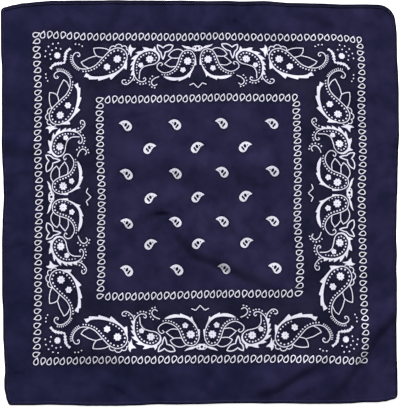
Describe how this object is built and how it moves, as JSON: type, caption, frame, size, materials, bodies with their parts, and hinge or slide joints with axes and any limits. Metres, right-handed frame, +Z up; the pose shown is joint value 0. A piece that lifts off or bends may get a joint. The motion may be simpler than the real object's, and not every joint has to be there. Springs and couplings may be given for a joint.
{
  "type": "bandana",
  "caption": "Square printed cotton bandana with narrow turned hems, lying flat with soft creases.",
  "frame": {"origin": "middle of the underside, on the surface that the cloth lies on", "axes": "+X to the right edge and +Y to the back edge as seen from above, +Z up out of the printed face"},
  "size_m": [0.54, 0.55, 0.0056],
  "materials": {
    "cloth": "matte",
    "hem_cloth": "matte",
    "thread": "satin"
  },
  "bodies": {
    "root": {"panel": "cloth", "hem_front": "hem_cloth", "hem_right": "hem_cloth", "hem_back": "hem_cloth", "hem_left": "hem_cloth"}
  },
  "joints": []
}
